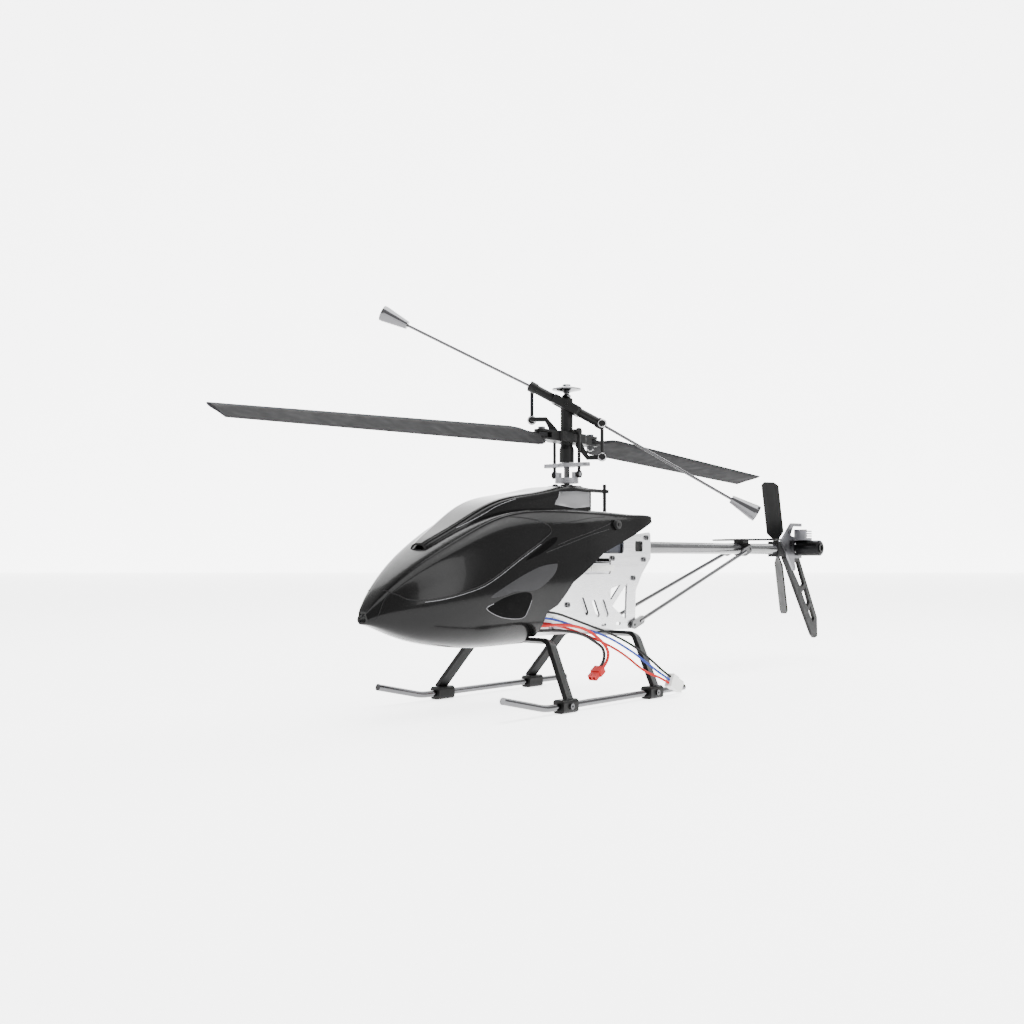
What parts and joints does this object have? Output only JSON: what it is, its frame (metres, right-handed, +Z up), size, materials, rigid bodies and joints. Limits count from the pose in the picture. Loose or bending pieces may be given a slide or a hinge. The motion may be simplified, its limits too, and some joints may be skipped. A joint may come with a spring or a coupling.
{
  "type": "remote control helicopter",
  "caption": "Electric model helicopter with a two-blade main rotor, flybar head, swashplate, carbon tail boom with its own tail motor, skid landing gear and a glossy canopy.",
  "frame": {"origin": "on the ground plane, under the middle of the outline without the battery leads", "axes": "-Y towards the nose, +X towards the port side, +Z up along the rotor mast"},
  "size_m": [0.2211, 0.7011, 0.278],
  "materials": {
    "black_plastic": "satin black moulded nylon",
    "black_metal": "satin black anodised",
    "carbon": "woven carbon laminate",
    "frame_aluminium": "satin",
    "steel": "ground",
    "chromed": "polished",
    "grey_metal": "grey anodised",
    "canopy_paint": "gloss black lacquer on a moulded shell",
    "blade_plastic": "matt dark grey",
    "white_nylon": "white nylon",
    "rubber_black": "matt",
    "battery_wrap": "shrink wrap",
    "servo_case": "satin",
    "wire_black": "silicone sleeve",
    "wire_blue": "silicone sleeve",
    "wire_red": "silicone sleeve",
    "red_plastic": "moulded"
  },
  "bodies": {
    "airframe": {"base_plate": "frame_aluminium", "battery": "battery_wrap", "boom_clamp": "black_plastic", "boom_struts": "carbon", "canopy": "canopy_paint", "canopy_grommets": "rubber_black", "cap_screws": "steel", "frame_spacers": "black_metal", "heat_sink": "grey_metal", "left_side_plate": "frame_aluminium", "lower_bearing": "black_metal", "main_motor": "black_metal", "motor_mount": "black_metal", "pitch_servo": "servo_case", "receiver": "servo_case", "right_side_plate": "frame_aluminium", "roll_servo": "servo_case", "skid_clamps": "black_plastic", "skids": "chromed", "skid_arches": "black_plastic", "stabiliser": "black_plastic", "strut_clamp": "black_plastic", "tail_boom": "carbon", "tail_bracket": "grey_metal", "tail_fin": "black_plastic", "tail_motor": "black_metal", "upper_bearing": "black_plastic", "black_lead": "wire_black", "blue_lead": "wire_blue", "red_lead": "wire_red", "red_power_lead": "wire_red", "black_power_lead": "wire_black", "balance_plug": "white_nylon", "power_plug": "red_plastic"},
    "rotor": {"main_shaft": "steel", "main_gear": "white_nylon", "gear_hub": "black_metal", "hub_column": "black_plastic", "driver_bar": "grey_metal", "head_button": "chromed"},
    "motor_pinion": {"pinion": "steel"},
    "yoke": {"blade_yoke": "black_plastic", "blade_bolts": "steel"},
    "front_blade_body": {"front_blade": "blade_plastic"},
    "rear_blade_body": {"rear_blade": "blade_plastic"},
    "flybar": {"flybar_sleeve": "black_plastic", "flybar_rods": "steel", "flybar_weights": "chromed"},
    "high_link": {"high_flybar_link": "black_plastic"},
    "low_link": {"low_flybar_link": "black_plastic"},
    "turning_ring": {"upper_ring": "grey_metal"},
    "left_rod": {"left_cyclic_rod": "black_plastic"},
    "right_rod": {"right_cyclic_rod": "black_plastic"},
    "gimbal": {"swash_gimbal": "grey_metal"},
    "still_ring": {"swash_lower_ring": "black_plastic"},
    "pitch_arm": {"pitch_servo_arm": "white_nylon"},
    "pitch_pushrod": {"pitch_rod": "black_plastic"},
    "roll_arm": {"roll_servo_arm": "white_nylon"},
    "roll_pushrod": {"roll_rod": "black_plastic"},
    "tail_prop": {"tail_rotor": "black_plastic"}
  },
  "joints": [
    {"name": "main_rotor_spin", "type": "hinge", "parent": "airframe", "child": "rotor", "pos_m": [0, -0.0384, 0.15], "axis": [0, 0, 1], "continuous": true},
    {"name": "motor_spin", "type": "hinge", "parent": "airframe", "child": "motor_pinion", "pos_m": [0, -0.07448, 0.08], "axis": [0, 0, 1], "continuous": true},
    {"name": "tail_rotor_spin", "type": "hinge", "parent": "airframe", "child": "tail_prop", "pos_m": [-0.014, 0.2996, 0.1054], "axis": [1, 0, 0], "continuous": true},
    {"name": "cyclic_feather", "type": "hinge", "parent": "rotor", "child": "yoke", "pos_m": [0, -0.0384, 0.181], "axis": [0.0767, -0.9971, 0], "range_deg": [0, 7]},
    {"name": "flybar_tilt", "type": "hinge", "parent": "rotor", "child": "flybar", "pos_m": [0, -0.0384, 0.2044], "axis": [0.5948, -0.8039, 0], "range_deg": [0, 6.83]},
    {"name": "front_blade_fold", "type": "hinge", "parent": "yoke", "child": "front_blade_body", "pos_m": [0.00238, -0.06931, 0.181], "axis": [0, 0, 1], "range_deg": [-55, 55]},
    {"name": "rear_blade_fold", "type": "hinge", "parent": "yoke", "child": "rear_blade_body", "pos_m": [-0.00238, -0.00749, 0.181], "axis": [0, 0, 1], "range_deg": [-55, 55]},
    {"name": "high_link_swivel", "type": "hinge", "parent": "flybar", "child": "high_link", "pos_m": [-0.02331, -0.04893, 0.21814], "axis": [0.5948, -0.8039, 0], "range_deg": [-6.83, 0]},
    {"name": "low_link_swivel", "type": "hinge", "parent": "flybar", "child": "low_link", "pos_m": [0.02331, -0.02787, 0.19066], "axis": [0.5948, -0.8039, 0], "range_deg": [-6.83, 0]},
    {"name": "left_rod_swivel", "type": "hinge", "parent": "yoke", "child": "left_rod", "pos_m": [0.01037, -0.0376, 0.1853], "axis": [0.0767, -0.9971, 0], "range_deg": [-7, 0]},
    {"name": "right_rod_swivel", "type": "hinge", "parent": "yoke", "child": "right_rod", "pos_m": [-0.01037, -0.0392, 0.1853], "axis": [0.0767, -0.9971, 0], "range_deg": [-7, 0]},
    {"name": "turning_ring_tilt", "type": "hinge", "parent": "rotor", "child": "turning_ring", "pos_m": [0, -0.0384, 0.1509], "axis": [0.0767, -0.9971, 0], "range_deg": [0, 7]},
    {"name": "swash_pitch", "type": "hinge", "parent": "airframe", "child": "gimbal", "pos_m": [0, -0.0384, 0.1453], "axis": [1, 0, 0], "range_deg": [-4, 4]},
    {"name": "swash_roll", "type": "hinge", "parent": "gimbal", "child": "still_ring", "pos_m": [0, -0.0384, 0.1453], "axis": [0, 1, 0], "range_deg": [-4, 4]},
    {"name": "pitch_servo_turn", "type": "hinge", "parent": "airframe", "child": "pitch_arm", "pos_m": [0.0144, -0.0674, 0.1028], "axis": [1, 0, 0], "range_deg": [-4, 4]},
    {"name": "pitch_rod_swivel", "type": "hinge", "parent": "pitch_arm", "child": "pitch_pushrod", "pos_m": [0.0168, -0.0804, 0.1028], "axis": [1, 0, 0], "range_deg": [-4, 4]},
    {"name": "roll_servo_turn", "type": "hinge", "parent": "airframe", "child": "roll_arm", "pos_m": [0, -0.0109, 0.1043], "axis": [0, 1, 0], "range_deg": [-4, 4]},
    {"name": "roll_rod_swivel", "type": "hinge", "parent": "roll_arm", "child": "roll_pushrod", "pos_m": [-0.015, -0.0134, 0.1043], "axis": [0, 1, 0], "range_deg": [-4, 4]}
  ],
  "couplings": [
    {"joint": "motor_spin", "follows": "main_rotor_spin", "ratio": -9},
    {"joint": "flybar_tilt", "follows": "cyclic_feather", "ratio": 0.9619},
    {"joint": "high_link_swivel", "follows": "cyclic_feather", "ratio": -0.9619},
    {"joint": "low_link_swivel", "follows": "cyclic_feather", "ratio": -0.9619},
    {"joint": "left_rod_swivel", "follows": "cyclic_feather", "ratio": -1},
    {"joint": "right_rod_swivel", "follows": "cyclic_feather", "ratio": -1},
    {"joint": "turning_ring_tilt", "follows": "cyclic_feather", "ratio": 1},
    {"joint": "pitch_servo_turn", "follows": "swash_pitch", "ratio": 1},
    {"joint": "pitch_rod_swivel", "follows": "swash_pitch", "ratio": -1},
    {"joint": "roll_servo_turn", "follows": "swash_roll", "ratio": 1},
    {"joint": "roll_rod_swivel", "follows": "swash_roll", "ratio": -1}
  ]
}
